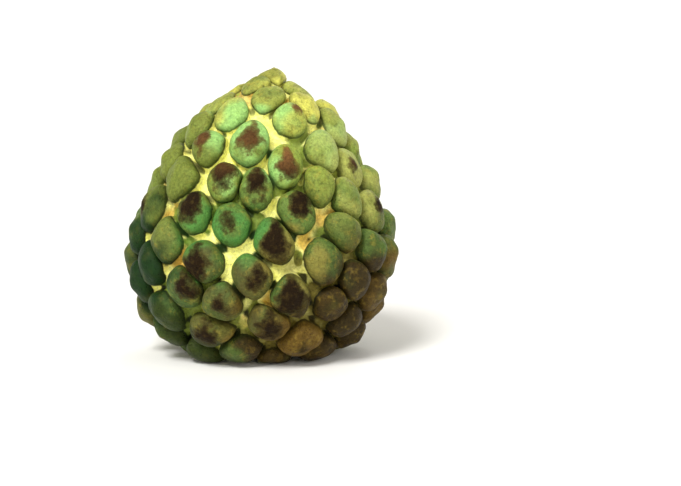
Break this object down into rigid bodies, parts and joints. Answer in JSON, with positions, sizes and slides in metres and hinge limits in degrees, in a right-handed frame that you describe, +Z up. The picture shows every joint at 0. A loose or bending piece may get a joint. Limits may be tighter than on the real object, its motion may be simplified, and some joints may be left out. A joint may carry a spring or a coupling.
{
  "type": "cherimoya",
  "caption": "Whole cherimoya: a cone-shaped tropical fruit covered in rounded knobs with furrows between them, standing tip up on its broad stalk end.",
  "frame": {"origin": "on the surface that the fruit stands on, below the middle of its box", "axes": "+Z up from the stalk end to the tip, +X towards the side that the tip leans to"},
  "size_m": [0.1048, 0.1032, 0.109],
  "materials": {
    "skin": "waxy green fruit skin, yellow-green in the furrows, browned at the peaks of the knobs",
    "bark": "rough dry bark with a pale cut end"
  },
  "bodies": {
    "root": {"fruit": "skin", "stalk_stub": "bark"}
  },
  "joints": []
}
